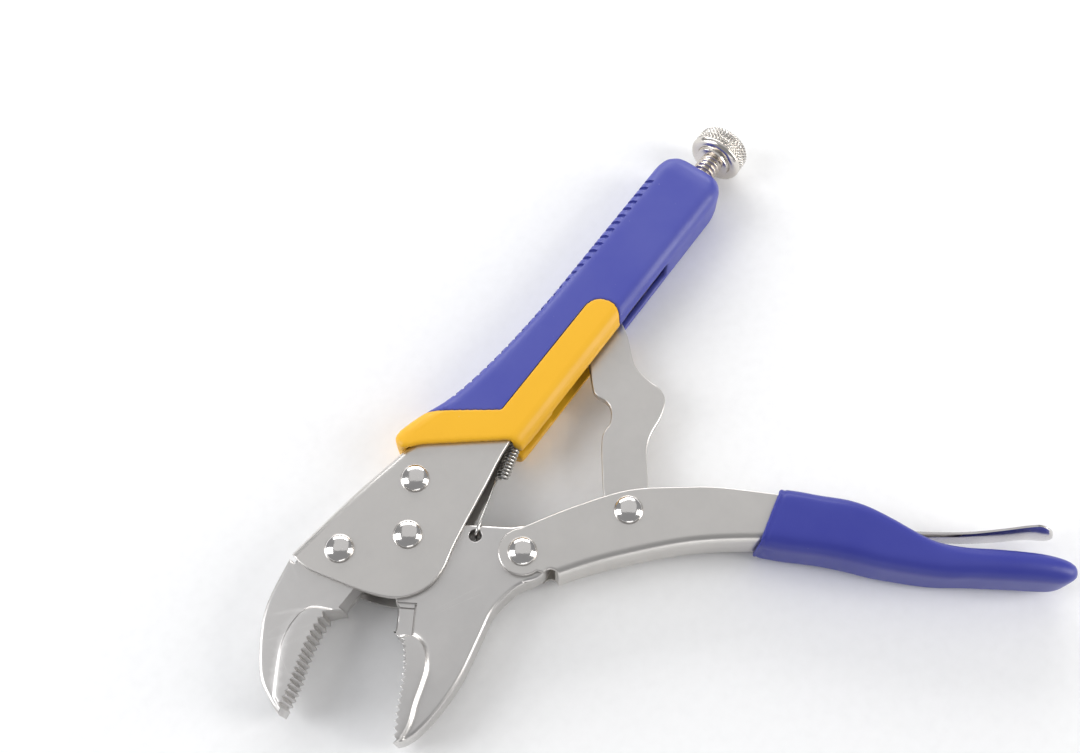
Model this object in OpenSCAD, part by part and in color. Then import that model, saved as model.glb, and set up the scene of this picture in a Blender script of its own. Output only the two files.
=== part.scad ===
// Locking pliers with curved jaws, a wire cutter, an adjusting screw and a release lever.
// Millimetres. The tool lies on its side with its jaws open. Z runs through its thickness.
// The origin is the main pivot, on the plane that the rivet heads rest on.
// +X runs along the fixed handle to the adjusting knob, and +Y is the back of that handle.

/* [Overall] */
// Thickness over the rivet heads and the fixed grip
overall_t = 21; // [19.5:0.25:26]
// From the main pivot to the rear end of the fixed grip
handle_len = 165; // [150:1:200]
// From the main pivot to the tips of the closed jaws
jaw_reach = 64; // [54:1:77]
// Length of the straight tail of the moving handle
tail_len = 36; // [30:1:46]

/* [Folded handles] */
// Outside width of both folded handles
channel_w = 16; // [14:0.25:17.5]
// Sheet thickness of the folded handles
sheet_t = 2; // [1.5:0.1:2.4]
// Gap on each side of a plate that moves inside a handle
side_gap = 0.15; // [0.1:0.05:0.4]

/* [Jaws] */
// Angle that the moving jaw opens from closed
jaw_open = 32.2; // [25:0.1:35]
// How far the toothed pads stand out from the sides of the jaws
pad_proud = 1.2; // [0.6:0.1:1.5]
// Number of teeth on each jaw
teeth = 16; // [10:1:22]
// Depth of the teeth
tooth_depth = 1.1; // [0.6:0.1:1.5]
// Gap left between the two cutting edges when the jaws are closed
bite_gap = 0.5; // [0.3:0.1:1]

/* [Rivets and pins] */
// Radius of the rivet heads
head_r = 4.6; // [4:0.1:6]
// Radius of the rivet shanks
shank_r = 3; // [2.4:0.1:3.6]
// Running clearance of a pin in a moving plate
pin_gap = 0.06; // [0.03:0.01:0.1]
// Radius of the small hidden pins
small_pin_r = 1.5; // [1.1:0.1:1.8]

/* [Adjusting screw] */
// Radius of the threaded rod
screw_r = 4.2; // [3.5:0.1:4.6]
// Bare thread between the grip and the knob
screw_out = 9; // [6:0.5:14]
// Radius of the knob
knob_r = 9.8; // [8:0.1:10.4]
// Length of the knob
knob_len = 11; // [8:0.5:15]
// Length of the threaded bush
bush_len = 14; // [10:0.5:20]

/* [Link, lever and spring] */
// Thickness of the toggle link
link_t = 3; // [2.5:0.1:4]
// Gap on each side of the release lever inside its handle
lever_gap = 1; // [0.5:0.05:1.5]
// Width of the lever's flared end
spoon_w = 13.5; // [11:0.5:16]
// Sheet thickness of the release lever
lever_t = 1.6; // [1.2:0.1:2]
// Outside radius of the spring
spring_r = 2.4; // [2:0.1:2.6]
// Thickness of the spring wire
wire_t = 0.9; // [0.7:0.05:1.1]

/* [Grips] */
// Thickness of the grips over the edges of the handles
grip_wall = 2.5; // [1.8:0.1:3]
// Corner radius of the grips
grip_round = 4.5; // [3:0.25:6]
// Width of the slot under the fixed grip
slot_w = 9; // [6.5:0.25:10]

/* [Hidden] */
$fn = 48;

mid_z = overall_t / 2;
inner_w = channel_w - 2 * sheet_t;
plate_w = inner_w - 2 * side_gap;
lever_w = inner_w - 2 * lever_gap;
side_wall = (overall_t - channel_w) / 2;
eps = 0.01;

// Colours
steel = [0.75, 0.73, 0.70];
bright = [0.86, 0.85, 0.83];
blue = [0.30, 0.32, 0.68];
yellow = [0.96, 0.74, 0.12];

// Small geometry helpers
function polar(r, a) = r * [cos(a), sin(a)];
function turned(p, a) = [p.x * cos(a) - p.y * sin(a), p.x * sin(a) + p.y * cos(a)];
function angle_of(v) = atan2(v.y, v.x);
function arc(c, r, from, to, n = 10) = [for (i = [0:n]) c + polar(r, from + (to - from) * i / n)];
function reversed(p) = [for (i = [len(p) - 1:-1:0]) p[i]];
// Points moved sideways, to the left of the way the row runs
function beside(p, d) = [for (i = [0:len(p) - 1])
  let (a = p[max(i - 1, 0)], b = p[min(i + 1, len(p) - 1)], t = (b - a) / norm(b - a))
  p[i] + d * [-t.y, t.x]];
// A smooth curve through a row of points
function curve(p, n = 4) = [for (i = [0:len(p) - 2]) for (s = [0:n - 1])
  let (t = s / n, a = p[max(i - 1, 0)], b = p[i], c = p[i + 1], d = p[min(i + 2, len(p) - 1)])
  0.5 * (2 * b + (c - a) * t + (2 * a - 5 * b + 4 * c - d) * t * t
    + (3 * b - a - 3 * c + d) * t * t * t), p[len(p) - 1]];
// A Bezier curve and its direction
function bezier(p, t) = pow(1 - t, 3) * p[0] + 3 * t * pow(1 - t, 2) * p[1]
  + 3 * t * t * (1 - t) * p[2] + pow(t, 3) * p[3];
function toothed(p, n, depth) = [for (i = [0:2 * n])
  let (t = i / (2 * n), d = bezier(p, min(t + eps, 1)) - bezier(p, max(t - eps, 0)), u = d / norm(d))
  bezier(p, t) + (i % 2) * depth * [u.y, -u.x]];

// The linkage. The jaw outlines are drawn closed, then opened about the main pivot.
handle_pivot_closed = [-3, -35.6];
handle_pivot = turned(handle_pivot_closed, jaw_open);
spring_hole_closed = [1.6, -20.6];
spring_hole = turned(spring_hole_closed, jaw_open);
link_arm = 35.3;
handle_angle = -32.2;
handle_angle_closed = 21;
toggle_pivot = handle_pivot + polar(link_arm, handle_angle);
toggle_pivot_closed = handle_pivot_closed + polar(link_arm, handle_angle_closed);
// The link's nose stays put when the jaws close, so it lies as far from both toggle pivots
nose_y = 1;
nose_x = ((toggle_pivot * toggle_pivot - toggle_pivot_closed * toggle_pivot_closed) / 2
  - nose_y * (toggle_pivot.y - toggle_pivot_closed.y)) / (toggle_pivot.x - toggle_pivot_closed.x);
nose = [nose_x, nose_y];
nose_r = 4.5;
link_len = norm(nose - toggle_pivot);
link_angle = angle_of(nose - toggle_pivot);
nose_play = 7;
screw_tip = nose_x + nose_r + nose_play;

// Fixed handle: its back is the fold, and its two cheeks hang from it
front_rivet = [-15.8, 14.2];
rear_rivet = [15.5, 9.5];
back_y = 10.6;
cheek_y = -9;
cheek_end = handle_len - 3;
back_line = concat(curve([[-25.5, 25.5], [0, 22.3], [20, 18.8], [40, 15.8], [62, 13], [80, 11.3],
  [94, back_y]]), [[cheek_end, back_y]]);
cheek_front = curve([[-25.5, 25.5], [-26.3, 19], [-24.1, 9], [-20.7, -2.7], [-16.5, -10.5],
  [-10, -14.8], [-2.7, -15.5], [7, -13.2], [25.3, -10]]);
cheek_bottom = [[43, -7.2], [60, cheek_y], [cheek_end, cheek_y]];
under_y = cheek_y - grip_wall;
slot_x0 = 60;
slot_x1 = 128;

// Fixed jaw
cut_x = -30;
cut_y = 1.6;
function reach(p) = [for (q = p) q.x < cut_x
  ? [cut_x + (q.x - cut_x) * (jaw_reach + cut_x) / (64 + cut_x), q.y] : q];
shoulder_x = -27;
fixed_teeth = reach([[-32.4, 5], [-45, 5.2], [-52, -1], [-62, -2.1]]);
fixed_back = reach(curve([[-64, -2.8], [-62.8, 1.5], [-59, 9], [-50, 17], [-41, 22], [shoulder_x, 25.4]]));
fixed_pad_edge = reach(curve([[-60.5, 1.5], [-54, 6], [-47, 10], [-40, 11.3], [-34.8, 9.8], [-31.8, 4.5]]));

// Moving jaw, drawn closed
hub_r = 7;
lobe_r = 9;
rear_x = 5.3;
moving_teeth = reach([[-61.4, -2.7], [-50, -1.4], [-40, -4.8], [-31.6, -1.5]]);
moving_back = reach(curve([[-11.9, -37.5], [-14.5, -33.6], [-21.3, -28], [-29, -25], [-42, -20],
  [-52, -14], [-58.5, -8.5], [-60.8, -5], [-61.4, -3]]));
moving_pad_edge = reach(curve([[-60.2, -4.4], [-55, -6.6], [-50, -7.4], [-44, -8.9], [-39.5, -9.7],
  [-34.5, -8.9], [-31.6, -7], [-30.2, -4.4]]));

// Moving handle, drawn with its pivot at the origin and the toggle pivot on +X
nose_cheek_r = 7.4;
notch_r = 2.4;
notch_at = [5.2, -10.3];
tail_x = 118;
tail_way = turned([1, 0], -29);
function tail(p) = [for (q = p) q + max(0, (q.x - tail_x) / 36) * (tail_len - 36) * tail_way];
handle_edge = tail(curve([[2, 7.1], [18.3, 7.4], [37.6, 6], [55, 0.2], [65.4, -4.2], [79.6, -12.1],
  [92, -19.2], [101, -25.5], [108, -32], [115, -41], [124, -49.2], [145, -60.8]]));
handle_web = tail(curve([[7, -11], [23, -12.2], [47, -16.4], [66.9, -23], [80, -29.3], [90, -35.2],
  [101, -42.8], [114, -50.6], [126, -55.8], [146, -65]]));

// The moving handle's grip: its inner side, its outer side and half its thickness along its length
grip_inside = tail(curve([[82.2, -10.8], [87.5, -14], [93, -17.6], [99.9, -21.8], [105, -26.3],
  [110, -32.5], [114.5, -38.8], [119, -44], [126, -48.6], [134, -52.4], [142, -56.4], [148.2, -59.9],
  [152.6, -63.2], [155, -65.8], [155.9, -67.3]], 3));
grip_outside = tail(curve([[67.6, -24.9], [76, -30.2], [84, -34.6], [92, -39.8], [99, -45],
  [106, -49.4], [112, -53], [117.5, -55.8], [123.5, -58.2], [131, -61.6], [138.8, -65.2],
  [144.6, -68], [149, -69.8], [152.6, -69.9], [154.9, -69.2]], 3));
grip_half = curve([10, 10.3, 10.3, 10.3, 10.3, 10.3, 10.3, 10.3, 10.3, 10.2, 10, 9.6, 8.6, 6.4, 3], 3);
lever_slot_x1 = 128;

// Release lever, in the moving handle's own frame
lever_pin = [97, -33.1];
lever_line = tail(curve([[75, -23.2], [84, -26.2], [97, -30.6], [108, -35.4], [116, -39.3],
  [128, -44.4], [140, -48.7], [150, -51.9], [155.4, -55]]));
lever_hub_r = 2.9;
spoon_x = 133;

// Spring, from its anchor to the hole in the moving jaw
anchor = [60, -3];
spring_angle = angle_of(spring_hole - anchor);
spring_span = norm(spring_hole - anchor);
hook_len = 21.5;
hook_flat = 5.5;
hook_z = plate_w / 2 + wire_t / 2 + 0.3;
coil_r = spring_r - wire_t / 2;
coil_turns = 17;

// Draws flat shapes as a plate of thickness t in the middle of the tool
module plate(t) {
  translate([0, 0, mid_z - t / 2]) linear_extrude(t) children();
}

// A round hole or pin through the whole tool at p
module through(p, r) {
  translate([p.x, p.y, -1]) cylinder(r = r, h = overall_t + 2);
}

// The moving handle's own frame
module in_handle() {
  translate([handle_pivot.x, handle_pivot.y, 0]) rotate(handle_angle) children();
}

// A domed head with a small flat on top, standing on z = 0
module rivet_head(h) {
  cap_h = h + 0.3;
  ball_r = (head_r * head_r + cap_h * cap_h) / (2 * cap_h);
  rotate_extrude() intersection() {
    translate([0, cap_h - ball_r]) circle(ball_r);
    square([head_r, h]);
  }
}

// A rivet at p with a head on each side of the folded handle
module rivet(p) {
  translate([p.x, p.y, 0]) {
    translate([0, 0, side_wall]) cylinder(r = shank_r, h = channel_w);
    translate([0, 0, overall_t - side_wall]) rivet_head(side_wall);
    translate([0, 0, side_wall]) mirror([0, 0, 1]) rivet_head(side_wall);
  }
}

// A skin over rings that all have the same number of points
module loft(rings) {
  n = len(rings[0]);
  m = len(rings);
  sides = [for (k = [0:m - 2]) for (i = [0:n - 1]) let (a = k * n, b = a + n, j = (i + 1) % n)
    each [[a + i, b + i, a + j], [a + j, b + i, b + j]]];
  polyhedron([for (r = rings) each r], concat(
    [[for (i = [0:n - 1]) i]], sides, [[for (i = [n - 1:-1:0]) (m - 1) * n + i]]));
}

// A rounded ring across a grip, from plan point p to plan point q, reaching half_z to each side
function grip_ring(p, q, half_z, r) =
  let (w = norm(q - p), u = (q - p) / w, c = min(r, w / 2 - 0.2, half_z - 0.2))
  [for (k = [0:3]) for (i = [0:4])
    let (sx = k == 0 || k == 3 ? 1 : -1, sz = k < 2 ? 1 : -1, a = 90 * k + 90 * i / 4,
      along = w / 2 + sx * (w / 2 - c) + c * cos(a), up = sz * (half_z - c) + c * sin(a))
    [p.x + u.x * along, p.y + u.y * along, mid_z + up]];

module channel_shape() {
  polygon(concat(reversed(cheek_front), back_line, reversed(cheek_bottom)));
}

module upper_handle() {
  color(steel) difference() {
    translate([0, 0, side_wall]) linear_extrude(channel_w) channel_shape();
    plate(inner_w) polygon(concat([[-40, 25.5 - sheet_t]], beside(back_line, -sheet_t),
      [[handle_len, back_y - sheet_t], [handle_len, -40], [-40, -40]]));
    for (p = [[0, 0], front_rivet, rear_rivet]) through(p, shank_r);
    through(anchor, small_pin_r);
  }
}

module fixed_jaw() {
  tooth_row = toothed(fixed_teeth, teeth, tooth_depth);
  inside_top = [for (p = beside(back_line, -sheet_t - eps)) if (p.x > shoulder_x && p.x < 21) p];
  color(bright) difference() {
    union() {
      plate(inner_w) polygon(concat(tooth_row, fixed_back, [[shoulder_x, 23.3]], inside_top,
        [[22, 12], [21, 5.5], [14, 4.4], [4, 8.3], [-4, 8.3], [-9.5, 6.4],
        [-21.5, cut_y + bite_gap / 2], [-29.7, cut_y + bite_gap / 2], [-31.2, 3.8]]));
      plate(inner_w + 2 * pad_proud) polygon(concat(tooth_row, fixed_pad_edge));
    }
    for (p = [front_rivet, rear_rivet]) through(p, shank_r);
    cutter_bevels([-21.4, cut_y + bite_gap / 2], inner_w, 1);
  }
}

// Wedges that leave a straight cutting edge in the middle of a jaw's thickness
module cutter_bevels(at, w, way) {
  bevel = 1.4;
  for (s = [-1, 1]) translate([at.x, at.y, mid_z]) rotate([0, -90, 0]) linear_extrude(8.2)
    polygon([[s * 0.6, -way * eps], [s * (w / 2 + 1), -way * eps],
      [s * (w / 2 + 1), way * bevel], [s * w / 2, way * bevel]]);
}

module movable_jaw() {
  tooth_row = toothed(moving_teeth, teeth, tooth_depth);
  edge_y = cut_y - bite_gap / 2;
  color(bright) rotate(jaw_open) difference() {
    union() {
      plate(plate_w) polygon(concat(tooth_row, [[-30.4, 0.2], [-29.2, edge_y], [-21, edge_y]],
        arc([0, 0], hub_r, 125, 15), [[rear_x + 0.6, -3], [rear_x, -8], [rear_x, -31]],
        arc(handle_pivot_closed, lobe_r, 5, -172), moving_back));
      plate(inner_w + 2 * pad_proud) polygon(concat(tooth_row, reversed(moving_pad_edge)));
    }
    through([0, 0], shank_r + pin_gap);
    through(handle_pivot_closed, shank_r + pin_gap);
    through(spring_hole_closed, 2);
    cutter_bevels([-21, edge_y], plate_w, -1);
    for (s = [0, 1]) translate([-30.2, -5, mid_z]) mirror([0, 0, s])
      translate([0, 0, plate_w / 2 - 1.2]) cube([9.7, 8, 4]);
  }
}

module front_jaw_rivet() {
  color(bright) rivet(front_rivet);
}

module rear_jaw_rivet() {
  color(bright) rivet(rear_rivet);
}

module main_pivot_rivet() {
  color(bright) rivet([0, 0]);
}

module spring_anchor_pin() {
  color(steel) translate([anchor.x, anchor.y, side_wall]) cylinder(r = small_pin_r, h = channel_w);
}

module threaded_bush() {
  x0 = cheek_end - bush_len;
  color(steel) difference() {
    plate(inner_w) translate([x0, cheek_y]) square([bush_len, back_y - cheek_y - sheet_t]);
    translate([x0 - 1, 0, mid_z]) rotate([0, 90, 0]) cylinder(r = screw_r + pin_gap, h = bush_len + 2);
  }
}

// The outer shape of the fixed handle's two-colour grip
module fixed_grip_body() {
  end_r = 8;
  backs = [for (p = concat(curve([[12, 21.5], [22, 21.7], [28, 20.7], [34.5, 18.7], [41.4, 16.1],
    [51.4, 13.9], [65.7, 12.1], [80, 11.1], [94, back_y]], 3), [[handle_len - end_r, back_y]]))
    p + [0, grip_wall]];
  rings = [for (p = backs) grip_ring([p.x, under_y], p, overall_t / 2, grip_round)];
  ends = [for (a = [30, 60, 80]) let (x = handle_len - end_r + end_r * sin(a), k = 5 * (1 - cos(a)))
    grip_ring([x, under_y + k], [x, back_y + grip_wall - k], overall_t / 2 - k * 0.7, grip_round)];
  difference() {
    intersection() {
      loft(concat(rings, ends));
      linear_extrude(overall_t) polygon([[20.3, 18.6], [25, 15], [43, -7.2], [45, -30],
        [handle_len + 5, -30], [handle_len + 5, 40], [28, 40], [22.5, 23.6], [20.6, 21.6]]);
    }
    translate([0, 0, side_wall]) linear_extrude(channel_w) channel_shape();
    translate([slot_x0, -20, mid_z - slot_w / 2]) cube([slot_x1 - slot_x0, 22, slot_w]);
    translate([30, -20, mid_z - 2.9]) cube([slot_x1 - 30, 22, 5.8]);
    translate([handle_len - 10, 0, mid_z]) rotate([0, 90, 0]) cylinder(r = screw_r + 1, h = 20);
  }
}

// The flat region of the yellow guard: a slanted band at the front and an arm along the underside
module guard_region() {
  polygon(concat([[10, -40], [10, 45], [34.3, 45], [34.3, 21.4], [49.3, 1]],
    arc([95.4, -5.6], 6.3, 90, -60, 12), [[96, -40]]));
}

module fixed_grip() {
  color(blue) difference() {
    fixed_grip_body();
    translate([0, 0, -1]) linear_extrude(overall_t + 2) guard_region();
  }
}

module grip_guard() {
  color(yellow) intersection() {
    fixed_grip_body();
    linear_extrude(overall_t) guard_region();
  }
}

// A round wire from one point to a little past another
module wire(from, to) {
  d = to - from;
  translate(from) rotate([0, acos(d.z / norm(d)), atan2(d.y, d.x)])
    cylinder(r = wire_t / 2, h = norm(d) + wire_t / 2);
}

// Draws in the spring's own frame: the origin in the jaw's hole, and +X towards the anchor
module in_spring() {
  translate([spring_hole.x, spring_hole.y, mid_z]) rotate(spring_angle + 180) children();
}

module spring_hook() {
  color(bright) in_spring() {
    wire([0, 0, -2], [0, 0, hook_z]);
    wire([0, 0, hook_z], [hook_flat, 0, hook_z]);
    wire([hook_flat, 0, hook_z], [hook_len, coil_r, 0]);
  }
}

// The close-wound spring and the loop round its anchor pin, as one wire. Each row holds a place
// on the wire and two directions across it.
module tension_spring() {
  start = hook_len + wire_t;
  end = spring_span - coil_r - wire_t;
  steps = coil_turns * 10;
  bend_r = 0.9;
  coil = [for (k = [0:steps]) let (a = 36 * k, out = [0, cos(a), sin(a)])
    [[start + (end - start) * k / steps, 0, 0] + coil_r * out, out, [1, 0, 0]]];
  bend = [for (a = [30, 60, 90]) [[end + bend_r * (1 - cos(a)), coil_r, bend_r * sin(a)],
    [0, 1, 0], [cos(a), 0, -sin(a)]]];
  loop = [for (a = [90:-20:-190]) let (out = [cos(a), sin(a), 0])
    [[spring_span, 0, bend_r] + coil_r * out, out, [0, 0, -1]]];
  color(bright) in_spring() loft([for (row = concat(coil, bend, loop)) [for (i = [0:5])
    row[0] + wire_t / 2 * (row[1] * cos(60 * i) + row[2] * sin(60 * i))]]);
}

module lower_channel_shape() {
  difference() {
    polygon(concat(arc([0, 0], nose_cheek_r, 285, 75, 24), handle_edge, reversed(handle_web)));
    translate(notch_at) circle(notch_r);
  }
}

module lower_handle() {
  color(steel) in_handle() difference() {
    translate([0, 0, side_wall]) linear_extrude(channel_w) lower_channel_shape();
    plate(inner_w) polygon(concat([[-20, 30], [-20, -20], [7, -20]], beside(handle_web, sheet_t),
      [for (p = tail([[146, -50], [120, 30]])) p]));
    through([0, 0], shank_r);
    through([link_arm, 0], shank_r);
    through(lever_pin, small_pin_r);
  }
}

module handle_pivot_rivet() {
  color(bright) rivet(handle_pivot);
}

module toggle_rivet() {
  color(bright) rivet(toggle_pivot);
}

module lower_grip() {
  color(blue) in_handle() difference() {
    loft([for (i = [0:len(grip_half) - 1])
      grip_ring(grip_outside[i], grip_inside[i], grip_half[i], grip_round)]);
    translate([0, 0, side_wall]) linear_extrude(channel_w) lower_channel_shape();
    plate(inner_w) polygon(concat([for (p = beside(handle_edge, -2)) if (p.x < lever_slot_x1) p],
      [[lever_slot_x1, -45], [lever_slot_x1, 20], [0, 20]]));
  }
}

module release_pin() {
  color(steel) in_handle() translate([lever_pin.x, lever_pin.y, side_wall])
    cylinder(r = small_pin_r, h = channel_w);
}

module release_lever() {
  strip = concat(beside(lever_line, lever_t / 2), reversed(beside(lever_line, -lever_t / 2)));
  color(bright) in_handle() difference() {
    union() {
      plate(lever_w) polygon(strip);
      plate(spoon_w) intersection() {
        polygon(strip);
        translate([spoon_x, -100]) square([100, 100]);
      }
      plate(lever_w) translate(lever_pin) circle(lever_hub_r);
    }
    through(lever_pin, small_pin_r + pin_gap);
  }
}

module toggle_link() {
  color(steel) translate([toggle_pivot.x, toggle_pivot.y, 0]) rotate(link_angle) difference() {
    plate(link_t) polygon(concat(arc([0, 0], 6.5, 285, 85, 16),
      curve([[10, 6.3], [26.5, 4.4], [31.8, 1], [36.6, 0], [39.6, 1.2], [43.2, 4.6], [52, 4.9]]),
      arc([link_len, 0], nose_r, 90, -90, 12),
      curve([[66, -8.6], [61, -9.5], [51.5, -10.2], [45.2, -14], [42, -17], [37.7, -18.2], [32, -15.9],
        [26, -11.5], [20, -9.3], [9.5, -8.2]])));
    through([0, 0], shank_r + pin_gap);
  }
}

module adjusting_screw() {
  color(bright) translate([screw_tip, 0, mid_z]) rotate([0, 90, 0])
    cylinder(r = screw_r, h = handle_len + screw_out - screw_tip);
}

module adjusting_knob() {
  collar_r = screw_r + 2.4;
  color(bright) translate([handle_len + screw_out, 0, mid_z]) rotate([0, 90, 0])
    rotate_extrude() polygon([[0, 0], [collar_r, 0], [knob_r - 1, 1.8], [knob_r, 2.8],
      [knob_r, knob_len - 1.5], [knob_r - 1.4, knob_len - 0.3], [knob_r - 4, knob_len], [0, knob_len]]);
}

upper_handle();
fixed_jaw();
front_jaw_rivet();
rear_jaw_rivet();
main_pivot_rivet();
spring_anchor_pin();
threaded_bush();
fixed_grip();
grip_guard();
movable_jaw();
spring_hook();
tension_spring();
lower_handle();
handle_pivot_rivet();
lower_grip();
release_pin();
release_lever();
toggle_link();
toggle_rivet();
adjusting_screw();
adjusting_knob();
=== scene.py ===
# Locking pliers with curved jaws, lying on their side with the jaws open.
# Shapes are worked out in millimetres, in the frame's own axes, and stored in metres.
import math

import bmesh
import bpy
import numpy as np
from mathutils import Matrix, Vector
from mathutils.bvhtree import BVHTree
from mathutils.geometry import delaunay_2d_cdt


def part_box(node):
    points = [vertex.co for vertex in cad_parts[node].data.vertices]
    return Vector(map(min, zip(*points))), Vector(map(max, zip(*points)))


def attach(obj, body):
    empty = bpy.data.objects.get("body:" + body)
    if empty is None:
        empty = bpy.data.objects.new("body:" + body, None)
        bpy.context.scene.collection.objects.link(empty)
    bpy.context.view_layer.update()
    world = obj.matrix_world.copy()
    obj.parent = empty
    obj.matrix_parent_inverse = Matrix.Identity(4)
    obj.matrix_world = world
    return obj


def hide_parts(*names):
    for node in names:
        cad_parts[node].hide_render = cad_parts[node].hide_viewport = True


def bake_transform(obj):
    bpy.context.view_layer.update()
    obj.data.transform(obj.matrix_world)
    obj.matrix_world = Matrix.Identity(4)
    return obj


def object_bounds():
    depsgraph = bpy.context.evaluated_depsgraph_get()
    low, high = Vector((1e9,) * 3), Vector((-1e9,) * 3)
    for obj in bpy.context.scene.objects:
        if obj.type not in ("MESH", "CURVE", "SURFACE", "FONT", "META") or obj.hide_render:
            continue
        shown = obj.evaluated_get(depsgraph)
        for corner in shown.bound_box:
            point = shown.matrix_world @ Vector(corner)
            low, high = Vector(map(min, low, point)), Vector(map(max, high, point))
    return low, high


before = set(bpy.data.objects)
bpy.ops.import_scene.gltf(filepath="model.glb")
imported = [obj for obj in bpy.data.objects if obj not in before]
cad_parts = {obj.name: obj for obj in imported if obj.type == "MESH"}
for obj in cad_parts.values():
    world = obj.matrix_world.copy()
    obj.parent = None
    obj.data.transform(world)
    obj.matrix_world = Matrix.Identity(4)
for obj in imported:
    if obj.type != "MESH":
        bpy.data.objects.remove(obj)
cad_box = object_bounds()
MM = 0.001
scene = bpy.context.scene

# ---- Camera, floor and studio light ----
# The camera looks down on the tool's side, 24 degrees off the vertical. The floor is a sheet of
# white card, and large soft lights stand round it with dark gaps between them.
camera_data = bpy.data.cameras.new("camera")
camera_data.sensor_width = 36
camera_data.lens = 38.366667
camera_data.clip_start, camera_data.clip_end = 0.01, 20
camera = bpy.data.objects.new("camera", camera_data)
scene.collection.objects.link(camera)
lean = Matrix.Rotation(math.radians(1.9), 3, "Z")
tilt = Matrix.Rotation(math.radians(23.8), 3, "X")
roll = Matrix.Rotation(math.radians(-54), 3, "Z")
camera_place = Vector((-52.707, -94.632, 361.535)) * MM
camera_turn = roll @ lean @ tilt @ lean.transposed()
camera.matrix_world = Matrix.Translation(camera_place) @ camera_turn.to_4x4()
scene.camera = camera
scene.view_settings.view_transform = "Standard"


def add_object(name, data):
    obj = bpy.data.objects.new(name, data)
    scene.collection.objects.link(obj)
    return obj


def area_light(name, place, aim, size, power, colour=(1, 1, 1)):
    light = bpy.data.lights.new(name, "AREA")
    light.shape = "RECTANGLE"
    light.size, light.size_y = size
    light.energy = power
    light.color = colour
    lamp = add_object(name, light)
    lamp.location = place
    lamp.rotation_euler = (Vector(aim) - Vector(place)).to_track_quat("-Z", "Y").to_euler()
    return lamp


centre = (cad_box[0] + cad_box[1]) / 2
to_camera = (camera.matrix_world.to_3x3() @ Vector((0, 0, 1))).normalized()
view_up = (camera.matrix_world.to_3x3() @ Vector((0, 1, 0))).normalized()
view_right = (camera.matrix_world.to_3x3() @ Vector((1, 0, 0))).normalized()


def around(side, up, out):
    """A place round the tool, in metres to the view's right, up the view and towards the camera."""
    return centre + view_right * side + view_up * up + to_camera * out


area_light("light_top", around(0.0, 0.58, 0.52), centre, (1.0, 0.8), 0.92)
area_light("light_back", around(-0.1, 1.0, 0.0), centre, (1.2, 0.4), 6.2)
area_light("light_left", around(-0.85, 0.15, 0.42), centre, (0.4, 0.9), 5.0, (0.97, 0.98, 1))
area_light("light_right", around(0.85, 0.1, 0.42), centre, (0.4, 0.9), 6.4, (1, 0.985, 0.96))
area_light("light_front", around(0.1, -0.85, 0.5), centre, (0.6, 0.3), 0.8)

world = bpy.data.worlds.new("studio")
world.use_nodes = True
world.node_tree.nodes["Background"].inputs["Color"].default_value = (0.86, 0.87, 0.9, 1)
world.node_tree.nodes["Background"].inputs["Strength"].default_value = 0.34
scene.world = world

floor_mesh = bpy.data.meshes.new("floor")
reach = 3.0
floor_mesh.from_pydata([(-reach, -reach, 0), (reach, -reach, 0), (reach, reach, 0), (-reach, reach, 0)],
                       [], [(0, 1, 2, 3)])
floor = add_object("floor", floor_mesh)
floor.location.z = cad_box[0].z


# ---- Plated steel ----
# Every bare steel piece has a satin nickel plate over pressed or forged steel. The plate is not
# quite even, and it carries fine polishing marks and a few stray scratches.
def socket(group, name, kind, way="INPUT", value=None):
    made = group.interface.new_socket(name=name, in_out=way, socket_type="NodeSocket" + kind)
    if value is not None:
        made.default_value = value


def wire(tree, kind, inputs=(), **settings):
    """Adds a shader node. inputs gives each input's value, or the socket that feeds it."""
    made = tree.nodes.new("ShaderNode" + kind)
    for key, value in settings.items():
        setattr(made, key, value)
    for key, value in dict(inputs).items():
        if isinstance(value, bpy.types.NodeSocket):
            tree.links.new(value, made.inputs[key])
        else:
            made.inputs[key].default_value = value
    return made


def ramp(tree, factor, low, high, dark=0.0, light=1.0):
    """Stretches the part of factor between low and high to run from dark to light."""
    return wire(tree, "MapRange", {"Value": factor, "From Min": low, "From Max": high,
                                   "To Min": dark, "To Max": light}).outputs["Result"]


def noise(tree, place, scale, detail=3.0, rough=0.5):
    return wire(tree, "TexNoise", {"Vector": place, "Scale": scale, "Detail": detail,
                                   "Roughness": rough}).outputs["Fac"]


def times(tree, a, b):
    return wire(tree, "Math", {0: a, 1: b}, operation="MULTIPLY").outputs["Value"]


def plus(tree, a, b):
    return wire(tree, "Math", {0: a, 1: b}, operation="ADD").outputs["Value"]


def shader_group(name, inputs, outputs):
    group = bpy.data.node_groups.new(name, "ShaderNodeTree")
    for key, kind, value in inputs:
        socket(group, key, kind, value=value)
    for key, kind in outputs:
        socket(group, key, kind, "OUTPUT")
    given = group.nodes.new("NodeGroupInput").outputs
    out = group.nodes.new("NodeGroupOutput").inputs
    return group, given, out


def stretched(tree, place, scales):
    """Places with each axis scaled by its own number."""
    return wire(tree, "VectorMath", {0: place, 1: scales}, operation="MULTIPLY").outputs["Vector"]


def swung(tree, place, angle):
    """Places turned about the tool's upright axis."""
    turned = wire(tree, "VectorRotate", {"Vector": place, "Angle": angle}, rotation_type="Z_AXIS")
    return turned.outputs["Vector"]


def in_millimetres(tree):
    return stretched(tree, wire(tree, "TexCoord").outputs["Object"], (1000, 1000, 1000))


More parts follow.
